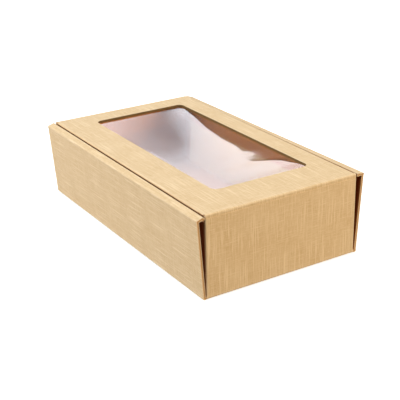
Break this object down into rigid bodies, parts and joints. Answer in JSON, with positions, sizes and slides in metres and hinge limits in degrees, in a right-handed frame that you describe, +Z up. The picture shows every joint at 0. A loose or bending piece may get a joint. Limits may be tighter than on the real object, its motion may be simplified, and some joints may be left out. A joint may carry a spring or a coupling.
{
  "type": "window carton for two bottles",
  "caption": "Corrugated board bottle box folded from one blank, with rolled-over side walls, a hinged lid and a clear film window.",
  "frame": {"origin": "middle of the underside, on the surface that the box stands on", "axes": "+Z up through the lid, +Y along the length from the hinge end to the tuck end, +X across to the right when seen from the hinge end"},
  "size_m": [0.2044, 0.34, 0.09],
  "materials": {
    "kraft_board": "matte linen-embossed kraft",
    "kraft_lid_board": "matte linen-embossed kraft",
    "clear_film": "glossy clear film"
  },
  "bodies": {
    "tray": {"tray": "kraft_board"},
    "lid": {"lid": "kraft_lid_board", "window_film": "clear_film"}
  },
  "joints": [
    {"name": "lid_hinge", "type": "hinge", "parent": "tray", "child": "lid", "pos_m": [0, -0.17, 0.0857], "axis": [1, 0, 0], "range_deg": [0, 180]}
  ]
}
